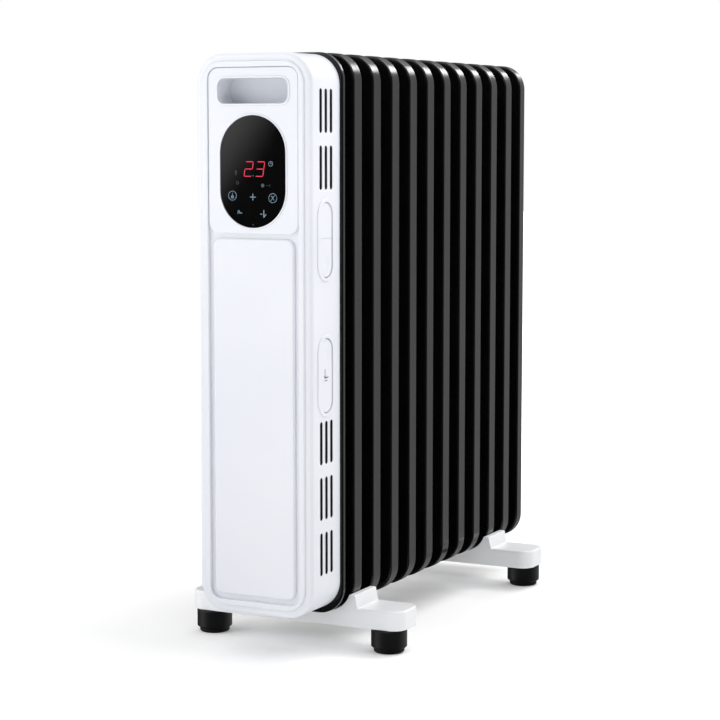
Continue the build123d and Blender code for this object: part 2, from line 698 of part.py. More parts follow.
with BuildPart() as lower_panel:
    with BuildSketch(facing(PANEL_FACE)):
        rounded(PANEL_WIDTH, PANEL_TOP - PANEL_BOTTOM, PANEL_CORNER, 0, PANEL_Z)
    backward(MOAT_FLOOR - PANEL_FACE)
    chamfer(lower_panel.faces().sort_by(Axis.Y)[0].edges(), PANEL_CHAMFER)
    fillet(lower_panel.faces().sort_by(Axis.Y)[0].edges(), PANEL_FILLET)
save(lower_panel.part, "lower_panel")

# ---------------------------------------------------------------- control fascia and display

FASCIA_CHAMFER = 0.9
FASCIA_RIM = 0.8        # height of the soft rims round the recess and the display
RIM_FILLET = 0.7
HANDLE_RIM = 2.0
DISPLAY_RIM = 1.7
GLASS_GAP = 0.2
GLASS_FILLET = 0.5
BOARD_FACE = 5.2
POST_RADIUS = 2.5
POST_ROOT = 1.0
POST_PLACES = [(x, DISPLAY_Z + z) for x in (-31.0, 31.0) for z in (-48.0, 40.0)]

with BuildPart() as control_fascia:
    with BuildSketch(facing(FASCIA_FACE)):
        rounded(FASCIA_WIDTH, FASCIA_HEIGHT, FASCIA_CORNER, 0, FASCIA_Z)
    backward(MOAT_FLOOR - FASCIA_FACE)
    chamfer(control_fascia.faces().sort_by(Axis.Y)[0].edges(), FASCIA_CHAMFER)
    with BuildSketch(facing(FASCIA_FACE - FASCIA_RIM)):
        rounded(
            HANDLE_WIDTH + 2 * HANDLE_RIM,
            HANDLE_HEIGHT + 2 * HANDLE_RIM,
            HANDLE_CORNER + HANDLE_RIM,
            0,
            HANDLE_Z,
        )
        pill(DISPLAY_WIDTH + 2 * DISPLAY_RIM, DISPLAY_HEIGHT + 2 * DISPLAY_RIM, 0, DISPLAY_Z)
    backward(FASCIA_RIM + RIM_FILLET)
    fillet(control_fascia.faces().sort_by(Axis.Y)[:2].edges(), RIM_FILLET)
    with BuildSketch(facing(MOAT_FLOOR)):
        rounded(
            HANDLE_WIDTH + 2 * HANDLE_WALL,
            HANDLE_HEIGHT + 2 * HANDLE_WALL,
            HANDLE_CORNER + HANDLE_WALL,
            0,
            HANDLE_Z,
        )
    backward(HANDLE_DEPTH + HANDLE_WALL - MOAT_FLOOR)
    with BuildSketch(facing(0)):
        rounded(HANDLE_WIDTH, HANDLE_HEIGHT, HANDLE_CORNER, 0, HANDLE_Z)
    backward(HANDLE_DEPTH, mode=Mode.SUBTRACT)
    with BuildSketch(facing(0)):
        pill(DISPLAY_WIDTH + 2 * GLASS_GAP, DISPLAY_HEIGHT + 2 * GLASS_GAP, 0, DISPLAY_Z)
    backward(GLASS_BACK, mode=Mode.SUBTRACT)
    with BuildSketch(facing(0)):
        pill(DISPLAY_WIDTH - 2 * GLASS_LEDGE, DISPLAY_HEIGHT - 2 * GLASS_LEDGE, 0, DISPLAY_Z)
    backward(MOAT_FLOOR, mode=Mode.SUBTRACT)
    discs(MOAT_FLOOR - POST_ROOT, BOARD_FACE - MOAT_FLOOR + POST_ROOT, POST_RADIUS, POST_PLACES)
save(control_fascia.part, "control_fascia")

with BuildPart() as display_glass:
    with BuildSketch(facing(GLASS_FACE)):
        pill(DISPLAY_WIDTH, DISPLAY_HEIGHT, 0, DISPLAY_Z)
    backward(GLASS_BACK - GLASS_FACE)
    fillet(display_glass.faces().sort_by(Axis.Y)[0].edges(), GLASS_FILLET)
save(display_glass.part, "display_glass")

DISPLAY_BOARD_WIDTH = 70.0
DISPLAY_BOARD_HEIGHT = 104.0
DISPLAY_BOARD_CORNER = 4.0
DISPLAY_BOARD_DROP = 3.0
BEHIND_GLASS = BOARD_FACE - GLASS_BACK
DIGITS_WIDTH = 34.0
DIGITS_HEIGHT = 22.0
DIGITS_PLACE = [(1.0, 507.0)]
SPRING_RADIUS = 3.0
SPRING_BORE = 2.2
BUZZER_RADIUS = 6.0
BUZZER_HEIGHT = 5.5
BUZZER_FILLET = 0.6
BUZZER_PLACE = [(-15.0, 535.0)]

with BuildPart() as display_board:
    with BuildSketch(facing(BOARD_FACE)):
        rounded(
            DISPLAY_BOARD_WIDTH,
            DISPLAY_BOARD_HEIGHT,
            DISPLAY_BOARD_CORNER,
            0,
            DISPLAY_Z - DISPLAY_BOARD_DROP,
        )
    backward(BOARD_THICK)
save(display_board.part, "display_board")

with BuildPart() as digit_module:
    blocks(GLASS_BACK, BEHIND_GLASS, DIGITS_WIDTH, DIGITS_HEIGHT, DIGITS_PLACE)
save(digit_module.part, "digit_module")

with BuildPart() as touch_springs:
    discs(GLASS_BACK, BEHIND_GLASS, SPRING_RADIUS, KEYS)
    discs(GLASS_BACK, BEHIND_GLASS, SPRING_BORE, KEYS, mode=Mode.SUBTRACT)
save(touch_springs.part, "touch_springs")

with BuildPart() as buzzer:
    discs(BOARD_FACE + BOARD_THICK, BUZZER_HEIGHT, BUZZER_RADIUS, BUZZER_PLACE)
    fillet(buzzer.faces().sort_by(Axis.Y)[-1].edges(), BUZZER_FILLET)
save(buzzer.part, "buzzer")

# ---------------------------------------------------------------- power electronics

BOARD_FRONT = BOARD_BACK - BOARD_THICK
BLOCK_FILLET = 1.0
CAPACITOR_RADIUS = 6.3
CAPACITOR_HEIGHT = 18.0
CAPACITOR_FILLET = 0.8
CAPACITOR_PLACES = [(6.0, 292.0), (14.0, 356.0)]
BOARD_SCREW_HEAD = 2.6
BOARD_SCREW_HEAD_HEIGHT = 2.0
BOARD_SCREW_LENGTH = 8.0

with BuildPart() as power_board:
    blocks(BOARD_FRONT, BOARD_THICK, BOARD_WIDTH, BOARD_HEIGHT, [(BOARD_X, BOARD_Z)])
    discs(BOARD_FRONT, BOARD_THICK, BOARD_SCREW, BOARD_HOLES, mode=Mode.SUBTRACT)
save(power_board.part, "power_board")

# name: width, height, standing height, places
BOARD_PARTS = {
    "heater_relays": (15.5, 19.5, 16.0, [(-38.0, 292.0), (-16.0, 292.0)]),
    "supply_transformer": (28.0, 24.0, 22.0, [(-34.0, 338.0)]),
    "terminal_block": (48.0, 10.0, 12.0, [(-20.0, 258.0)]),
}
for name, (width, height, standing, places) in BOARD_PARTS.items():
    with BuildPart() as board_part:
        blocks(BOARD_FRONT - standing, standing, width, height, places)
        fillet(board_part.edges().filter_by(Axis.Y), BLOCK_FILLET)
    save(board_part.part, name)

with BuildPart() as filter_capacitors:
    discs(BOARD_FRONT - CAPACITOR_HEIGHT, CAPACITOR_HEIGHT, CAPACITOR_RADIUS, CAPACITOR_PLACES)
    fillet(filter_capacitors.faces().group_by(Axis.Y)[0].edges(), CAPACITOR_FILLET)
save(filter_capacitors.part, "filter_capacitors")

with BuildPart() as board_screws:
    head_face = BOARD_FRONT - BOARD_SCREW_HEAD_HEIGHT
    discs(head_face, BOARD_SCREW_HEAD_HEIGHT, BOARD_SCREW_HEAD, BOARD_HOLES)
    discs(BOARD_FRONT, BOARD_SCREW_LENGTH, BOARD_SCREW, BOARD_HOLES)
save(board_screws.part, "board_screws")

CUTOUT_FLANGE = 10.0
CUTOUT_FLANGE_THICK = 1.5
CUTOUT_RADIUS = 8.0
CUTOUT_HEIGHT = 10.0
TAB_HALF_SPACING = 4.0
TAB_THICK = 0.8
TAB_WIDTH = 6.3
TAB_LENGTH = 7.0

with BuildPart() as thermal_cutout:
    discs(COVER_END - CUTOUT_FLANGE_THICK, CUTOUT_FLANGE_THICK, CUTOUT_FLANGE, [(0, CUTOUT_Z)])
    discs(COVER_END - CUTOUT_HEIGHT, CUTOUT_HEIGHT, CUTOUT_RADIUS, [(0, CUTOUT_Z)])
    tab_places = [(-TAB_HALF_SPACING, CUTOUT_Z), (TAB_HALF_SPACING, CUTOUT_Z)]
    blocks(COVER_END - CUTOUT_HEIGHT - TAB_LENGTH, TAB_LENGTH, TAB_THICK, TAB_WIDTH, tab_places)
save(thermal_cutout.part, "thermal_cutout")

# room sensor: a bead on a holder between two rows of vents, inside the side shell
SENSOR_Z = 142.3
SENSOR_HOLDER_X = 8.0
SENSOR_HOLDER_Y = 6.0
SENSOR_HOLDER_Z = 7.0
SENSOR_RADIUS = 2.4
SENSOR_LENGTH = 30.0
SENSOR_DROP = 12.0
SENSOR_INSET = 7.0

with BuildPart() as room_sensor:
    holder_place = [(-INNER_X + SENSOR_HOLDER_X / 2, SENSOR_Z)]
    holder_front = SIDE_DEPTH - SENSOR_HOLDER_Y / 2
    blocks(holder_front, SENSOR_HOLDER_Y, SENSOR_HOLDER_X, SENSOR_HOLDER_Z, holder_place)
    bead_place = [(-INNER_X + SENSOR_INSET, SIDE_Y)]
    uprights(SENSOR_Z - SENSOR_DROP, SENSOR_LENGTH, SENSOR_RADIUS, bead_place)
save(room_sensor.part, "room_sensor")

# ---------------------------------------------------------------- tip-over switch
# A hanging pendulum holds its tongue in a light gate, and leaves it when the heater tips.

TILT_X = 15.0
TILT_Z = 205.0
TILT_FRONT = 36.0
TILT_BACK = 56.0
TILT_WIDTH = 40.0
TILT_HEIGHT = 44.0
TILT_WALL = 1.6
TILT_CORNER = 3.0
TILT_PIN = 1.2
TILT_HUB = 3.6
TILT_RUNNING = 0.06
TILT_PIVOT_Z = TILT_Z + 8.0
TILT_PIVOT = [(TILT_X, TILT_PIVOT_Z)]
PIN_INSET = 2.0
PENDULUM_REACH = 20.0
PENDULUM_BOB = 6.0
PENDULUM_ARM = 3.6
PENDULUM_FRONT = TILT_FRONT + 5.0
PENDULUM_THICK = 6.0
TONGUE_WIDTH = 3.0
TONGUE_THICK = 1.2
TONGUE_REACH = 8.6
GATE_WIDTH = 12.0
GATE_HEIGHT = 7.5
GATE_THICK = 9.0
GATE_SLOT = 3.2
GATE_SLOT_HEIGHT = 5.5
PENDULUM_MIDDLE = PENDULUM_FRONT + PENDULUM_THICK / 2
TILT_ROOF = TILT_Z + TILT_HEIGHT / 2 - TILT_WALL


def tilt_case_outline(inset):
    rounded(TILT_WIDTH - 2 * inset, TILT_HEIGHT - 2 * inset, TILT_CORNER - inset, TILT_X, TILT_Z)


with BuildPart() as tilt_switch_case:
    with BuildSketch(facing(TILT_FRONT)):
        tilt_case_outline(0)
    backward(PLATE_FACE - TILT_FRONT)
    with BuildSketch(facing(TILT_FRONT)):
        tilt_case_outline(TILT_WALL)
    backward(TILT_BACK - TILT_WALL - TILT_FRONT, mode=Mode.SUBTRACT)
    with BuildSketch(facing(TILT_BACK)):
        tilt_case_outline(TILT_WALL)
    backward(PLATE_FACE - TILT_BACK, mode=Mode.SUBTRACT)
    discs(TILT_FRONT, TILT_BACK - TILT_FRONT, TILT_PIN, TILT_PIVOT, mode=Mode.SUBTRACT)
save(tilt_switch_case.part, "tilt_switch_case")

with BuildPart() as tilt_pivot_pin:
    discs(TILT_FRONT + PIN_INSET, TILT_BACK - TILT_FRONT - PIN_INSET, TILT_PIN, TILT_PIVOT)
save(tilt_pivot_pin.part, "tilt_pivot_pin")

with BuildPart() as tilt_pendulum:
    bob_z = TILT_PIVOT_Z - PENDULUM_REACH
    arm_place = [(TILT_X, (TILT_PIVOT_Z + bob_z) / 2)]
    discs(PENDULUM_FRONT, PENDULUM_THICK, TILT_HUB, TILT_PIVOT)
    blocks(PENDULUM_FRONT, PENDULUM_THICK, PENDULUM_ARM, PENDULUM_REACH, arm_place)
    discs(PENDULUM_FRONT, PENDULUM_THICK, PENDULUM_BOB, [(TILT_X, bob_z)])
    tongue_place = [(TILT_X, TILT_PIVOT_Z + TONGUE_REACH / 2)]
    tongue_front = PENDULUM_MIDDLE - TONGUE_THICK / 2
    blocks(tongue_front, TONGUE_THICK, TONGUE_WIDTH, TONGUE_REACH, tongue_place)
    bore = TILT_PIN + TILT_RUNNING
    discs(PENDULUM_FRONT, PENDULUM_THICK, bore, TILT_PIVOT, mode=Mode.SUBTRACT)
save(tilt_pendulum.part, "tilt_pendulum")

with BuildPart() as tilt_light_gate:
    gate_place = [(TILT_X, TILT_ROOF - GATE_HEIGHT / 2)]
    blocks(PENDULUM_MIDDLE - GATE_THICK / 2, GATE_THICK, GATE_WIDTH, GATE_HEIGHT, gate_place)
    with BuildSketch(facing(PENDULUM_MIDDLE - GATE_SLOT / 2)):
        with Locations((TILT_X, TILT_ROOF - GATE_HEIGHT + GATE_SLOT_HEIGHT / 2)):
            Rectangle(GATE_WIDTH, GATE_SLOT_HEIGHT)
    backward(GATE_SLOT, mode=Mode.SUBTRACT)
save(tilt_light_gate.part, "tilt_light_gate")

# ---------------------------------------------------------------- mains cord gland and clamp

GLAND_FLANGE = 9.5
GLAND_FLANGE_THICK = 2.5
GLAND_FILLET = 1.2
GLAND_LENGTH = 11.0
GLAND_NUT = 10.0
GLAND_NUT_HEIGHT = 5.0

with BuildPart() as cord_gland:
    flange_bottom = HOUSING_BOTTOM - GLAND_FLANGE_THICK
    uprights(flange_bottom, GLAND_FLANGE_THICK, GLAND_FLANGE, GLAND_PLACE)
    fillet(cord_gland.faces().sort_by(Axis.Z)[0].edges(), GLAND_FILLET)
    uprights(HOUSING_BOTTOM, GLAND_LENGTH, GLAND_NECK, GLAND_PLACE)
    with BuildSketch(Plane.XY.offset(HOUSING_BOTTOM)):
        gland_key()
    extrude(amount=WALL)
    through = GLAND_FLANGE_THICK + GLAND_LENGTH
    uprights(flange_bottom, through, CORD_BORE, GLAND_PLACE, mode=Mode.SUBTRACT)
save(cord_gland.part, "cord_gland")

with BuildPart() as gland_nut:
    with BuildSketch(Plane.XY.offset(HOUSING_BOTTOM + WALL)):
        with Locations(*GLAND_PLACE):
            RegularPolygon(GLAND_NUT, 6)
            Circle(GLAND_NECK, mode=Mode.SUBTRACT)
    extrude(amount=GLAND_NUT_HEIGHT)
save(gland_nut.part, "gland_nut")

with BuildPart() as cord_clamp:
    blocks(CLAMP_SEAT - CLAMP_THICK, CLAMP_THICK, CLAMP_WIDTH, CLAMP_HEIGHT, [(CORD_X, CLAMP_Z)])
    clamp_bottom = CLAMP_Z - CLAMP_HEIGHT / 2
    uprights(clamp_bottom, CLAMP_HEIGHT, CORD_BORE, GLAND_PLACE, mode=Mode.SUBTRACT)
    fillet(cord_clamp.edges().filter_by(Axis.Z).sort_by(Axis.Y)[:2], CLAMP_FILLET)
save(cord_clamp.part, "cord_clamp")

# ---------------------------------------------------------------- stand arms, bolts and feet

ARM_DEPTHS = {"front": FRONT_ARM, "rear": REAR_ARM}
FOOT_DEPTHS = {"front": FRONT_ARM - FOOT_OUTWARD, "rear": REAR_ARM + FOOT_OUTWARD}
BOLT_DEPTHS = {
    "front": FIRST_FIN + BOLT_BEHIND,
    "rear": LAST_FIN - 2 * FIN_PITCH + BOLT_BEHIND,
}
BOLT_X = NECK_RADIUS + BOLT_RADIUS + BOLT_CLEARANCE
ARM_HEIGHT = ARM_TOP - ARM_BOTTOM
ARM_TOP_FILLET = 2.2
ARM_BOTTOM_FILLET = 1.4
CRADLE_ROOT = 3.0       # the cradle's cheeks start this far under the arm's top
CRADLE_FILLET = 1.6
NUT_SEAT = 33.0
NUT_HEIGHT = 4.0
NUT_RADIUS = 5.4
NUT_POCKET = 8.0
BOLT_TAIL = 3.0         # the bolt reaches this far below its nut
STUD_REACH = 14.0

for position, depth in ARM_DEPTHS.items():
    arm_y = FRONT_Y + depth
    bolt_y = FRONT_Y + BOLT_DEPTHS[position]
    bolt_places = [(-BOLT_X, bolt_y), (BOLT_X, bolt_y)]
    foot_y = FRONT_Y + FOOT_DEPTHS[position]
    stud_places = [(-FOOT_X, foot_y), (FOOT_X, foot_y)]
    bolt_hole = BOLT_RADIUS + BOLT_CLEARANCE
    with BuildPart() as arm:
        with BuildSketch(Plane.XY.offset(ARM_BOTTOM)):
            with Locations((0, arm_y)):
                RectangleRounded(2 * ARM_HALF, ARM_WIDTH, ARM_CORNER)
        extrude(amount=ARM_HEIGHT)
        fillet(arm.faces().sort_by(Axis.Z)[-1].edges(), ARM_TOP_FILLET)
        fillet(arm.faces().sort_by(Axis.Z)[0].edges(), ARM_BOTTOM_FILLET)
        with BuildSketch(facing(depth - ARM_WIDTH / 2)):
            with BuildLine():
                Polyline(
                    (-CRADLE_BASE, ARM_TOP - CRADLE_ROOT),
                    (-CRADLE_HEAD, CRADLE_TOP),
                    (CRADLE_HEAD, CRADLE_TOP),
                    (CRADLE_BASE, ARM_TOP - CRADLE_ROOT),
                    close=True,
                )
            make_face()
        backward(ARM_WIDTH)
        top_edges = arm.edges().filter_by_position(Axis.Z, CRADLE_TOP, CRADLE_TOP)
        fillet(top_edges.filter_by(Axis.Y), CRADLE_FILLET)
        with BuildSketch(facing(depth - ARM_WIDTH / 2)):
            fin_outline(-CRADLE_GAP)
        backward(ARM_WIDTH, mode=Mode.SUBTRACT)
        uprights(ARM_BOTTOM, STUD_REACH, STUD_RADIUS, stud_places, mode=Mode.SUBTRACT)
        uprights(ARM_BOTTOM, ARM_HEIGHT, bolt_hole, bolt_places, mode=Mode.SUBTRACT)
        uprights(ARM_BOTTOM, NUT_SEAT - ARM_BOTTOM, NUT_POCKET, bolt_places, mode=Mode.SUBTRACT)
    save(arm.part, f"{position}_stand_arm")

BOLT_END = NUT_SEAT - NUT_HEIGHT - BOLT_TAIL
bolts = []
for depth in BOLT_DEPTHS.values():
    bolt_y = FRONT_Y + depth
    with BuildPart() as bolt:
        with BuildLine() as bolt_route:
            Line((-BOLT_X, bolt_y, BOLT_END), (-BOLT_X, bolt_y, LOW_HEADER))
            ThreePointArc(
                (-BOLT_X, bolt_y, LOW_HEADER),
                (0, bolt_y, LOW_HEADER + BOLT_X),
                (BOLT_X, bolt_y, LOW_HEADER),
            )
            Line((BOLT_X, bolt_y, LOW_HEADER), (BOLT_X, bolt_y, BOLT_END))
        with BuildSketch(Plane(origin=(-BOLT_X, bolt_y, BOLT_END), z_dir=(0, 0, 1))):
            Circle(BOLT_RADIUS)
        sweep(path=bolt_route.wires()[0])
    bolts.append(bolt.part)
save(together(bolts), "stand_u_bolts")

NUT_PLACES = [(x, FRONT_Y + depth) for depth in BOLT_DEPTHS.values() for x in (-BOLT_X, BOLT_X)]

with BuildPart() as stand_nuts:
    with BuildSketch(Plane.XY.offset(NUT_SEAT - NUT_HEIGHT)):
        with Locations(*NUT_PLACES):
            RegularPolygon(NUT_RADIUS, 6)
            Circle(BOLT_RADIUS, mode=Mode.SUBTRACT)
    extrude(amount=NUT_HEIGHT)
save(stand_nuts.part, "stand_nuts")

FEET = [
    (foot_x, FRONT_Y + depth)
    for depth in FOOT_DEPTHS.values()
    for foot_x in (-FOOT_X, FOOT_X)
]
CUP_HEIGHT_Z = ARM_BOTTOM - PAD_HEIGHT
CUP_TOP_CHAMFER = 1.4
CUP_BOTTOM_CHAMFER = 1.0
PAD_FILLET = 2.4

with BuildPart() as foot_cups:
    uprights(PAD_HEIGHT, CUP_HEIGHT_Z, FOOT_RADIUS, FEET)
    chamfer(foot_cups.faces().group_by(Axis.Z)[-1].edges(), CUP_TOP_CHAMFER)
    chamfer(foot_cups.faces().group_by(Axis.Z)[0].edges(), CUP_BOTTOM_CHAMFER)
    uprights(PAD_HEIGHT, CUP_HEIGHT_Z, STUD_RADIUS, FEET, mode=Mode.SUBTRACT)
save(foot_cups.part, "foot_cups")

with BuildPart() as foot_pads:
    uprights(0, PAD_HEIGHT, PAD_RADIUS, FEET)
    fillet(foot_pads.faces().group_by(Axis.Z)[0].edges(), PAD_FILLET)
save(foot_pads.part, "foot_pads")

with BuildPart() as foot_studs:
    uprights(PAD_HEIGHT, CUP_HEIGHT_Z + STUD_REACH, STUD_RADIUS, FEET)
save(foot_studs.part, "foot_studs")
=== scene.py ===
import json
import math

import bmesh
import bpy
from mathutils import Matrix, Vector


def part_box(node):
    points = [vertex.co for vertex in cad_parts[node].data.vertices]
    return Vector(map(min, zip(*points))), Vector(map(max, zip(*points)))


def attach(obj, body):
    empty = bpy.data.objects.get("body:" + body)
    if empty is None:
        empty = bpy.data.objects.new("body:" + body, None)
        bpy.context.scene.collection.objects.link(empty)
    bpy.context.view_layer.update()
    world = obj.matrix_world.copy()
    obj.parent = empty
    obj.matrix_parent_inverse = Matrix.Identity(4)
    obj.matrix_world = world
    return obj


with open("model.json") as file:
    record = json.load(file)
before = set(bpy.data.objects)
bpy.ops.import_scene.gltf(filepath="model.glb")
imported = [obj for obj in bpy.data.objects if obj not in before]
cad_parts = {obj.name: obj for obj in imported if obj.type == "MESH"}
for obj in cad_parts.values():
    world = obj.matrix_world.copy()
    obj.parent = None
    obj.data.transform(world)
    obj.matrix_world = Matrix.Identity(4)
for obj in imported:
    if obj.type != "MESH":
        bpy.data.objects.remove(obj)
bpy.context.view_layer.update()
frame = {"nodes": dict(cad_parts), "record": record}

# Oil filled radiator heater.  Metres, +Z up, -Y towards the controls, +X towards the cord hooks.

MM = 0.001

# ---------------------------------------------------------------- node helpers

NOISE_LOW, NOISE_HIGH = 0.3, 0.7  # most of a noise lies between these
BEVEL_SAMPLES = 4


class Nodes:
    """The node tree of a material or of the world, and short ways to add to it."""

    def __init__(self, owner):
        owner.use_nodes = True
        self.nodes = owner.node_tree.nodes
        self.links = owner.node_tree.links

    def feed(self, socket, value):
        """Link an output to an input socket, or set the socket to a constant."""
        if isinstance(value, bpy.types.NodeSocket):
            self.links.new(value, socket)
        else:
            socket.default_value = value

    def add(self, kind, **values):
        """A new node, given its own settings and then its inputs, such as From_Min=0."""
        node = self.nodes.new(kind)
        for name, value in values.items():
            if hasattr(node, name):
                setattr(node, name, value)
            else:
                self.feed(node.inputs[name.replace("_", " ")], value)
        return node

    def arithmetic(self, kind, operation, first, second=None):
        """A math node that works on one or two values, each a link or a constant."""
        node = self.add(kind, operation=operation)
        self.feed(node.inputs[0], first)
        if second is not None:
            self.feed(node.inputs[1], second)
        return node

    def numbers(self, operation, first, second):
        return self.arithmetic("ShaderNodeMath", operation, first, second).outputs["Value"]

    def vectors(self, operation, first, second=None):
        node = self.arithmetic("ShaderNodeVectorMath", operation, first, second)
        gives_number = operation in ("LENGTH", "DOT_PRODUCT")
        return node.outputs["Value" if gives_number else "Vector"]

    def ramp(self, value, given, wanted, smooth=False):
        """Map a number from one range to another, and hold it at the ends."""
        node = self.add(
            "ShaderNodeMapRange",
            interpolation_type="SMOOTHSTEP" if smooth else "LINEAR",
            Value=value,
            From_Min=given[0],
            From_Max=given[1],
            To_Min=wanted[0],
            To_Max=wanted[1],
        )
        return node.outputs["Result"]

    def blend(self, factor, low, high):
        """A colour that goes from low to high as factor goes from 0 to 1."""
        mix = self.add("ShaderNodeMix", data_type="RGBA", Factor=factor, A=low, B=high)
        return mix.outputs["Result"]


class Shading(Nodes):
    """A material, built up from a Principled shader and object coordinates in metres."""

    def __init__(self, name):
        self.material = bpy.data.materials.new(name)
        super().__init__(self.material)
        self.shader = self.nodes["Principled BSDF"]
        self.place = self.nodes.new("ShaderNodeTexCoord").outputs["Object"]

    def set(self, **values):
        """Constants or links for the shader's own sockets, such as Roughness=0.4."""
        for name, value in values.items():
            self.feed(self.shader.inputs[name.replace("_", " ")], value)

    def noise(self, feature, detail=2.0, finer=(1, 1, 1)):
        """Noise with features this many metres across, and this many times finer along each axis."""
        scaled = self.add("ShaderNodeMapping", Scale=finer, Vector=self.place)
        vector = scaled.outputs["Vector"]
        texture = self.add("ShaderNodeTexNoise", Scale=1 / feature, Detail=detail, Vector=vector)
        return texture.outputs["Fac"]

    def between(self, noise, low, high):
        """Spread the middle of a noise between two numbers."""
        return self.ramp(noise, (NOISE_LOW, NOISE_HIGH), (low, high))

    def tint(self, noise, low, high):
        """Base colour from low to high over the middle of a noise."""
        self.set(Base_Color=self.blend(self.between(noise, 0, 1), (*low, 1), (*high, 1)))

    def relief(self, layers, edge=0.0):
        """Bump from (height in metres, noise) layers, over edges rounded to a radius."""
        normal = None
        if edge:
            bevel = self.add("ShaderNodeBevel", samples=BEVEL_SAMPLES, Radius=edge)
            normal = bevel.outputs["Normal"]
        for height, value in layers:
            bump = self.add("ShaderNodeBump", Distance=height, Height=value)
            if normal:
                self.feed(bump.inputs["Normal"], normal)
            normal = bump.outputs["Normal"]
        self.set(Normal=normal)


def moulded_plastic(name, low, high, roughness, grain, grain_height, edge):
    """Moulded plastic: faint cloudiness, a fine spark-eroded grain and softened edges."""
    look = Shading(name)
    look.tint(look.noise(120 * MM), low, high)
    wear = look.noise(20 * MM, detail=4)
    look.set(Roughness=look.between(wear, roughness - 0.04, roughness + 0.04))
    look.relief([(grain_height, look.noise(grain, detail=3))], edge)
    return look


def metal(name, low, high, roughness, finer, edge=0.2 * MM):
    """Bare or plated metal with fine marks, which run across the axis where they are finer."""
    look = Shading(name)
    marks = look.noise(0.6 * MM, detail=5, finer=finer)
    look.tint(look.noise(6 * MM, detail=4), low, high)
    look.set(Metallic=1.0, Roughness=look.between(marks, roughness - 0.08, roughness + 0.1))
    look.relief([(0.008 * MM, marks)], edge)
    return look


# ---------------------------------------------------------------- the heater's materials


def white_shell():
    look = moulded_plastic(
        "white_shell",
        low=(0.745, 0.765, 0.815),
        high=(0.775, 0.795, 0.84),
        roughness=0.36,
        grain=0.7 * MM,
        grain_height=0.010 * MM,
        edge=0.6 * MM,
    )
    look.set(Coat_Weight=0.12, Coat_Roughness=0.22)
    return look


def white_stand():
    return moulded_plastic(
        "white_stand",
        low=(0.86, 0.87, 0.89),
        high=(0.885, 0.895, 0.91),
        roughness=0.40,
        grain=0.8 * MM,
        grain_height=0.014 * MM,
        edge=0.8 * MM,
    )


def black_enamel():
    """Baked black coating on pressed sheet: orange peel over slow waviness of the sheet."""
    look = Shading("black_enamel")
    look.tint(look.noise(50 * MM, detail=3), (0.0016, 0.0016, 0.0019), (0.0034, 0.0034, 0.0038))
    wear = look.noise(12 * MM, detail=4)
    look.set(Specular_IOR_Level=0.42, Roughness=look.between(wear, 0.16, 0.26))
    peel = look.noise(2.2 * MM, detail=2)
    wave = look.noise(60 * MM, detail=1)
    look.relief([(0.10 * MM, wave), (0.012 * MM, peel)], edge=0.7 * MM)
    return look


def black_glass():
    """Polished glass over black print, faintly smudged by fingers."""
    look = Shading("black_glass")
    look.tint(look.noise(40 * MM), (0.0004, 0.0004, 0.0005), (0.0009, 0.0009, 0.0011))
    smudges = look.noise(18 * MM, detail=5)
    look.set(Specular_IOR_Level=0.4, Roughness=look.between(smudges, 0.02, 0.045))
    look.relief([(0.002 * MM, look.noise(30 * MM, detail=1))], edge=0.4 * MM)
    return look


def circuit_board():
    """Green solder mask over a mesh of copper tracks."""
    look = Shading("board")
    quarter_turn = (math.radians(90), 0, 0)
    upright = look.add("ShaderNodeMapping", Rotation=quarter_turn, Vector=look.place)
    tracks = look.add(
        "ShaderNodeTexBrick",
        Scale=120,
        Mortar_Size=0.02,
        Color1=(0.006, 0.075, 0.028, 1),
        Color2=(0.008, 0.095, 0.035, 1),
        Mortar=(0.03, 0.20, 0.07, 1),
        Vector=upright.outputs["Vector"],
    )
    wear = look.noise(10 * MM)
    look.set(Base_Color=tracks.outputs["Color"], Roughness=look.between(wear, 0.28, 0.4))
    look.relief([(0.03 * MM, tracks.outputs["Fac"])], edge=0.2 * MM)
    return look


def black_part_plastic():
    look = moulded_plastic(
        "black_part_plastic",
        low=(0.004, 0.004, 0.0045),
        high=(0.009, 0.009, 0.0095),
        roughness=0.42,
        grain=0.6 * MM,
        grain_height=0.02 * MM,
        edge=0.6 * MM,
    )
    look.set(Specular_IOR_Level=0.35)
    return look


def grey_part_plastic():
    return moulded_plastic(
        "grey_part_plastic",
        low=(0.11, 0.115, 0.12),
        high=(0.15, 0.155, 0.16),
        roughness=0.45,
        grain=0.6 * MM,
        grain_height=0.02 * MM,
        edge=0.4 * MM,
    )


def rubber_pad():
    look = moulded_plastic(
        "rubber_pad",
        low=(0.003, 0.003, 0.003),
        high=(0.008, 0.008, 0.008),
        roughness=0.62,
        grain=0.4 * MM,
        grain_height=0.05 * MM,
        edge=0.6 * MM,
    )
    look.set(Specular_IOR_Level=0.3)
    return look


def zinc_steel():
    low, high = (0.50, 0.51, 0.52), (0.62, 0.62, 0.60)
    return metal("zinc_steel", low, high, roughness=0.32, finer=(1, 1, 6))


def element_steel():
    low, high = (0.22, 0.19, 0.16), (0.34, 0.31, 0.28)
    return metal("element_steel", low, high, roughness=0.42, finer=(4, 1, 4))


def plug_brass():
    low, high = (0.55, 0.38, 0.14), (0.70, 0.50, 0.20)
    return metal("plug_brass", low, high, roughness=0.26, finer=(1, 6, 1))


def ceramic():
    return moulded_plastic(
        "ceramic",
        low=(0.74, 0.70, 0.62),
        high=(0.82, 0.79, 0.72),
        roughness=0.55,
        grain=0.5 * MM,
        grain_height=0.03 * MM,
        edge=0.2 * MM,
    )


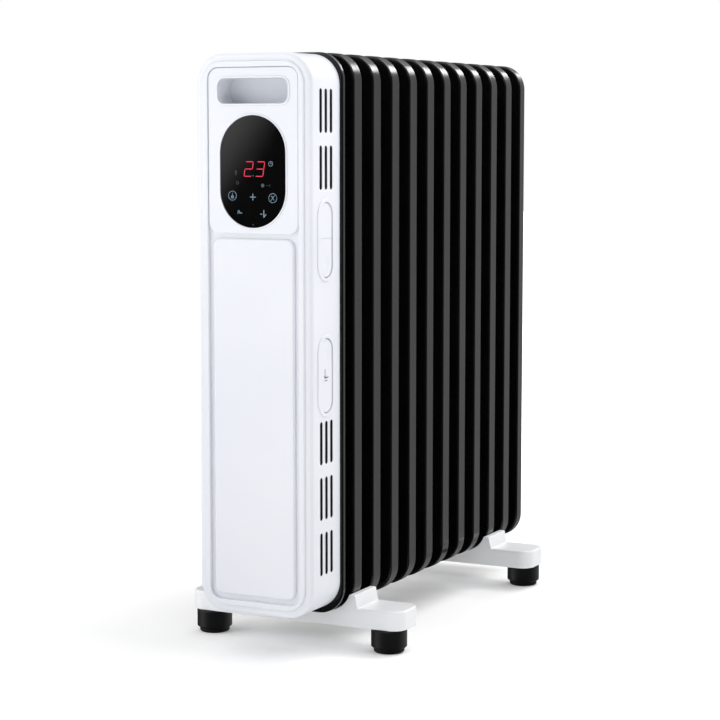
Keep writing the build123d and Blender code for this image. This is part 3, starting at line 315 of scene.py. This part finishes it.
# the side shell seen from the front: rounded corners round a straight-sided middle
SHELL_LOW, SHELL_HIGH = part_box("housing_shell")
SHELL_MIDDLE = (SHELL_LOW[2] + SHELL_HIGH[2]) / 2
SHELL_CORNER = 31 * MM
SHELL_STRAIGHT = (
    (SHELL_HIGH[0] - SHELL_LOW[0]) / 2 - SHELL_CORNER,
    0,
    (SHELL_HIGH[2] - SHELL_LOW[2]) / 2 - SHELL_CORNER,
)
# depths below the shell's outer face where its white ends and the painted shade on its inside starts
WHITE_ENDS = 0.25 * MM
PAINTED_SHADE_STARTS = 0.6 * MM
# painted shade: a near-black colour for the inside of the shell's walls, in place of the shade there
PAINTED_SHADE_COLOUR = (0.012, 0.012, 0.013, 1)


def painted_shade_inside():
    """The shell's white plastic, with painted shade on the inside of its walls, where little light
    reaches.
    """
    look = white_shell()
    look.material.name = "painted_shade_inside"
    white = look.shader.inputs["Base Color"].links[0].from_socket
    flat = look.vectors("MULTIPLY", look.place, (1, 0, 1))
    from_middle = look.vectors("ABSOLUTE", look.vectors("SUBTRACT", flat, (0, 0, SHELL_MIDDLE)))
    past_straight = look.vectors("SUBTRACT", from_middle, SHELL_STRAIGHT)
    reach = look.vectors("LENGTH", look.vectors("MAXIMUM", past_straight, (0, 0, 0)))
    outer = look.ramp(reach, (SHELL_CORNER - PAINTED_SHADE_STARTS, SHELL_CORNER - WHITE_ENDS), (0, 1))
    look.set(Base_Color=look.blend(outer, PAINTED_SHADE_COLOUR, white))
    return look


FINISHES = {
    "white_shell": white_shell(),
    "white_stand": white_stand(),
    "black_enamel": black_enamel(),
    "black_glass": black_glass(),
    "board": circuit_board(),
    "black_part_plastic": black_part_plastic(),
    "grey_part_plastic": grey_part_plastic(),
    "rubber_pad": rubber_pad(),
    "zinc_steel": zinc_steel(),
    "element_steel": element_steel(),
    "ceramic": ceramic(),
    "plug_brass": plug_brass(),
}
# the housing shell's plastic, with painted shade on the inside of its walls
SHELL_WITH_PAINTED_SHADE = painted_shade_inside()

for part in frame["record"]["subparts"]:
    node = frame["nodes"][part["node"]]
    look = SHELL_WITH_PAINTED_SHADE if part["node"] == "housing_shell" else FINISHES[part["material_slot"]]
    if not node.material_slots:
        node.data.materials.append(look.material)
    for material_slot in node.material_slots:
        material_slot.material = look.material

# ---------------------------------------------------------------- flat graphics
# Thin shapes in the face of the glass and of a cord hook, drawn in millimetres from its middle.

INK_HALF = 0.05 * MM
STROKE = 0.36

GLASS_LOW, GLASS_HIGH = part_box("display_glass")
GLASS_X = (GLASS_LOW[0] + GLASS_HIGH[0]) / 2
GLASS_Z = (GLASS_LOW[2] + GLASS_HIGH[2]) / 2

HOOK_LOW, HOOK_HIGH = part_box("lower_cord_hook")
HOOK_Y = (HOOK_LOW[1] + HOOK_HIGH[1]) / 2
HOOK_Z = (HOOK_LOW[2] + HOOK_HIGH[2]) / 2


def on_glass(x, z, level):
    """A point in the glass's face: level -1 is in front of it and +1 behind it."""
    return (GLASS_X + x * MM, GLASS_LOW[1] + level * INK_HALF, GLASS_Z + z * MM)


def on_hook(y, z, level):
    """A point in the lower hook's outer face: level -1 is in front of it and +1 behind it."""
    return (HOOK_HIGH[0] - level * INK_HALF, HOOK_Y + y * MM, HOOK_Z + z * MM)


def lit(name, dim, bright, strength):
    """A lit legend: even light from a faintly cloudy print."""
    look = Shading(name)
    look.tint(look.noise(4 * MM), dim, bright)
    look.set(Roughness=0.4, Emission_Color=(*bright, 1), Emission_Strength=strength)
    look.relief([(0.002 * MM, look.noise(1 * MM))])
    return look


def print_grey():
    """Grey ink, printed on a hook."""
    look = Shading("print_grey")
    look.tint(look.noise(3 * MM), (0.16, 0.16, 0.18), (0.24, 0.24, 0.26))
    look.set(Roughness=0.5)
    look.relief([(0.004 * MM, look.noise(0.6 * MM))])
    return look


class Ink:
    """Collects flat strokes into one thin piece that lies in a face."""

    def __init__(self, name, look, spot=on_glass):
        self.name = name
        self.material = look.material
        self.spot = spot
        self.middle = (0, 0)
        self.mesh = bmesh.new()

    def at(self, x, z):
        """Measure the strokes that follow from here."""
        self.middle = (x, z)

    def shape(self, points):
        """A closed outline of (x, z) points, given a little thickness."""
        x0, z0 = self.middle
        front = [self.mesh.verts.new(self.spot(x0 + x, z0 + z, -1)) for x, z in points]
        back = [self.mesh.verts.new(self.spot(x0 + x, z0 + z, 1)) for x, z in points]
        self.mesh.faces.new(front)
        self.mesh.faces.new(back[::-1])
        count = len(points)
        for index in range(count):
            after = (index + 1) % count
            self.mesh.faces.new((front[after], front[index], back[index], back[after]))

    def bar(self, start, end, width=STROKE):
        """A straight stroke with pointed ends."""
        start, end = Vector(start), Vector(end)
        along = (end - start).normalized() * width / 2
        across = Vector((-along.y, along.x))
        upper = [start + along + across, end - along + across]
        lower = [end - along - across, start + along - across]
        self.shape([start, *upper, end, *lower])

    def dot(self, x, z, radius, sides=24):
        turns = [2 * math.pi * k / sides for k in range(sides)]
        self.shape([(x + radius * math.cos(t), z + radius * math.sin(t)) for t in turns])

    def ring(self, x, z, radius, width=STROKE, sides=36):
        turns = [2 * math.pi * k / sides for k in range(sides + 1)]
        for turn in zip(turns, turns[1:]):
            outer, inner = (
                [(x + reach * math.cos(t), z + reach * math.sin(t)) for t in turn]
                for reach in (radius, radius - width)
            )
            self.shape([*outer, *inner[::-1]])

    def finish(self, body="heater"):
        bmesh.ops.recalc_face_normals(self.mesh, faces=self.mesh.faces)
        data = bpy.data.meshes.new(self.name)
        self.mesh.to_mesh(data)
        self.mesh.free()
        data.materials.append(self.material)
        piece = bpy.data.objects.new(self.name, data)
        bpy.context.scene.collection.objects.link(piece)
        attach(piece, body)


# a seven-segment digit's strokes, as (across, up) steps from its lower left corner
SEGMENT_ENDS = {
    "a": ((0, 2), (1, 2)),
    "b": ((1, 2), (1, 1)),
    "c": ((1, 1), (1, 0)),
    "d": ((0, 0), (1, 0)),
    "e": ((0, 1), (0, 0)),
    "g": ((0, 1), (1, 1)),
}
TWO = "abged"
THREE = "abgcd"
DIGIT_WIDTH = 8.6
DIGIT_HEIGHT = 14.6
DIGIT_SLANT = 0.16
DIGIT_STROKE = 0.82
SEGMENT_GAP = 0.25
DIGITS_BOTTOM = -4.6


def seven_segments(ink, left, segments):
    """A slanted seven-segment digit."""
    ink.at(left, DIGITS_BOTTOM)
    for segment in segments:
        ends = []
        for across, up in SEGMENT_ENDS[segment]:
            height = up * DIGIT_HEIGHT / 2
            ends.append(Vector((across * DIGIT_WIDTH + height * DIGIT_SLANT, height)))
        trim = (ends[1] - ends[0]).normalized() * SEGMENT_GAP
        ink.bar(ends[0] + trim, ends[1] - trim, DIGIT_STROKE)


def temperature():
    """The red digits 23."""
    ink = Ink("lit_digits", lit("lit_red", (0.45, 0.010, 0.035), (0.70, 0.02, 0.06), 0.6))
    seven_segments(ink, -10.2, TWO)
    seven_segments(ink, 3.0, THREE)
    ink.finish()


def clock(ink):
    """A clock's face, beside the digits."""
    ink.at(20.7, 8.0)
    ink.ring(0, 0, 2.5)
    ink.bar((0, 0), (0, 1.6))
    ink.bar((0, 0), (1.2, 0))


def timer_key(ink):
    """A ring with a small hanging drop."""
    ink.at(-23.8, -24.4)
    ink.ring(0, 0, 4.8)
    ink.ring(0, -1.2, 1.5, 0.7)
    ink.bar((0, 3.0), (0, -0.2))


def plus_key(ink):
    ink.at(0, -25.6)
    ink.bar((-3.4, 0), (3.4, 0), 0.6)
    ink.bar((0, -3.4), (0, 3.6), 0.6)


def mode_key(ink):
    """A ring with two crossing strokes and a dot."""
    ink.at(23.0, -26.4)
    ink.ring(0, 0, 4.8)
    ink.bar((-2.2, -2.8), (2.2, 3.0))
    ink.bar((-1.0, 2.2), (1.6, -2.2))
    ink.dot(-1.4, 1.8, 0.5)


def minus_key(ink):
    """A small loop with a bar."""
    ink.at(-14.4, -41.3)
    ink.ring(-2.2, 1.3, 1.0)
    ink.bar((-3.2, 1.1), (-3.2, -1.9))
    ink.bar((-2.2, -0.3), (2.0, -0.5), 0.7)


def power_key(ink):
    """An upright bar with a tail and a short bar beside it."""
    ink.at(12.3, -42.8)
    ink.bar((0.3, 4.4), (0.3, -3.6), 0.75)
    ink.bar((0.5, -2.6), (3.1, 0), 0.6)
    ink.bar((-3.9, 0.2), (-1.3, 0.2), 0.7)


def key_legends():
    ink = Ink("lit_legends", lit("lit_grey", (0.13, 0.21, 0.28), (0.22, 0.33, 0.42), 0.42))
    for draw in (clock, timer_key, plus_key, mode_key, minus_key, power_key):
        draw(ink)
    ink.finish()


def dim_legends():
    """Signs that are off, and hardly show: on the left, under the digits and at the bottom."""
    ink = Ink("dim_legends", lit("lit_dim", (0.03, 0.04, 0.055), (0.06, 0.075, 0.09), 0.2))
    ink.at(-19.6, -0.2)
    ink.ring(0, 0, 1.2)
    ink.bar((0, -1.4), (0, -3.8))
    ink.bar((-1.4, -2.4), (1.4, -2.4))
    ink.at(-17.9, -11.3)
    ink.ring(0, 0, 1.6)
    ink.at(0.4, -4.1)
    ink.dot(0, 0, 0.7)
    ink.at(11.4, -13.8)
    ink.dot(0, 0, 1.9)
    ink.bar((4.4, 0), (6.6, 0))
    ink.bar((8.2, 1.2), (8.2, -1.2))
    ink.at(0.1, -53.4)
    ink.dot(0, 0, 0.6)
    ink.finish()


def press_mark():
    """An arrow that points at the hook's end to press, with a tail and a short bar under it."""
    ink = Ink("press_mark", print_grey(), on_hook)
    ink.bar((-3.0, 7.4), (-3.0, -2.4), 1.2)
    ink.bar((-3.0, -2.4), (4.8, -1.6), 1.2)
    ink.bar((-5.6, 0.4), (-3.0, -2.8), 1.0)
    ink.bar((-3.0, -2.8), (0.4, 0.2), 1.0)
    ink.bar((-4.4, -5.0), (2.6, -5.0), 1.0)
    ink.finish("lower_hook")


temperature()
key_legends()
dim_legends()
press_mark()

# ---------------------------------------------------------------- studio

FLOOR_SIZE = 24.0
FLOOR_CELLS = 8
# the floor's own glow, near the heater and far off, and how far from it each holds
NEAR_GLOW, FAR_GLOW = 0.18, 0.9
NEAR_ENDS, FAR_STARTS = 0.6, 1.8
WALL_LIGHT = 0.07
# where the walls are brighter: direction, where that starts and where it is full (both as the
# cosine of the angle from that direction), and the brightness before and after
LOBES = [
    ((0, 0, 1), 0.2, 0.85, WALL_LIGHT, 1.0),
    ((0.5, 0.86, 0.0), 0.45, 0.95, 0, 0.52),
    ((-0.8, -0.52, 0.28), 0.8462, 0.859, 0, 1.5),
]
SOFTBOXES = {
    "key": {"place": (-1.5, -2.4, 1.9), "target": (0, 0, 0.35), "size": (1.4, 1.4), "watts": 8},
    "side": {"place": (1.9, -0.2, 2.3), "target": (0, 0, 0.35), "size": (1.0, 1.0), "watts": 8},
    "top": {"place": (0.7, 1.1, 2.4), "target": (0, 0.1, 0.5), "size": (1.2, 1.2), "watts": 24},
    "rim": {"place": (0.9, 3.0, 1.95), "target": (0, 0, 0.6), "size": (1.6, 0.4), "watts": 16},
}


def studio_floor():
    """Pale seamless floor of faintly mottled matt paint, which glows: faintly near the heater,
    lightening the shadows there, and strongly far off like a lit backdrop.
    """
    bpy.ops.mesh.primitive_grid_add(
        x_subdivisions=FLOOR_CELLS, y_subdivisions=FLOOR_CELLS, size=FLOOR_SIZE
    )
    floor = bpy.context.object
    floor.name = "studio_floor"
    look = Shading("studio_floor")
    look.tint(look.noise(0.8), (0.89, 0.89, 0.89), (0.91, 0.91, 0.91))
    away = look.vectors("LENGTH", look.place)
    glow = look.ramp(away, (NEAR_ENDS, FAR_STARTS), (NEAR_GLOW, FAR_GLOW), smooth=True)
    look.set(Roughness=0.8, Specular_IOR_Level=0.1)
    look.set(Emission_Color=(1, 1, 1, 1), Emission_Strength=glow)
    look.relief([(0.02 * MM, look.noise(4 * MM))])
    floor.data.materials.append(look.material)
    floor.visible_glossy = False


def studio_walls():
    """A backdrop that the camera sees white, and that lights the heater as LOBES says."""
    world = bpy.data.worlds.new("studio_world")
    walls = Nodes(world)
    towards = walls.add("ShaderNodeTexCoord").outputs["Generated"]
    light = None
    for direction, start, full, before, after in LOBES:
        facing = walls.vectors("DOT_PRODUCT", towards, Vector(direction).normalized())
        lobe = walls.ramp(facing, (start, full), (before, after), smooth=True)
        light = lobe if light is None else walls.numbers("ADD", light, lobe)
    seen = walls.add("ShaderNodeLightPath").outputs["Is Camera Ray"]
    background = walls.nodes["Background"]
    walls.feed(background.inputs["Color"], (1, 1, 1, 1))
    walls.feed(background.inputs["Strength"], walls.numbers("MAXIMUM", seen, light))
    bpy.context.scene.world = world


def softbox(name, place, target, size, watts):
    light = bpy.data.lights.new(name, "AREA")
    light.shape = "RECTANGLE"
    light.size, light.size_y = size
    light.energy = watts
    box = bpy.data.objects.new(name, light)
    box.location = place
    box.rotation_euler = (Vector(target) - Vector(place)).to_track_quat("-Z", "Y").to_euler()
    bpy.context.scene.collection.objects.link(box)


studio_floor()
studio_walls()
for name, settings in SOFTBOXES.items():
    softbox(name, **settings)

# ---------------------------------------------------------------- camera

CAMERA_PLACE = (1.0419, -2.1141, 0.5394)
CAMERA_TURN = 26.622
CAMERA_TILT = 6.122
LENS = 104.03
SENSOR = 36.0

lens = bpy.data.cameras.new("camera")
lens.lens = LENS
lens.sensor_width = SENSOR
camera = bpy.data.objects.new("camera", lens)
camera.location = CAMERA_PLACE
camera.rotation_euler = (math.radians(90 - CAMERA_TILT), 0, math.radians(CAMERA_TURN))
bpy.context.scene.collection.objects.link(camera)
bpy.context.scene.camera = camera
bpy.context.scene.view_settings.view_transform = "Standard"
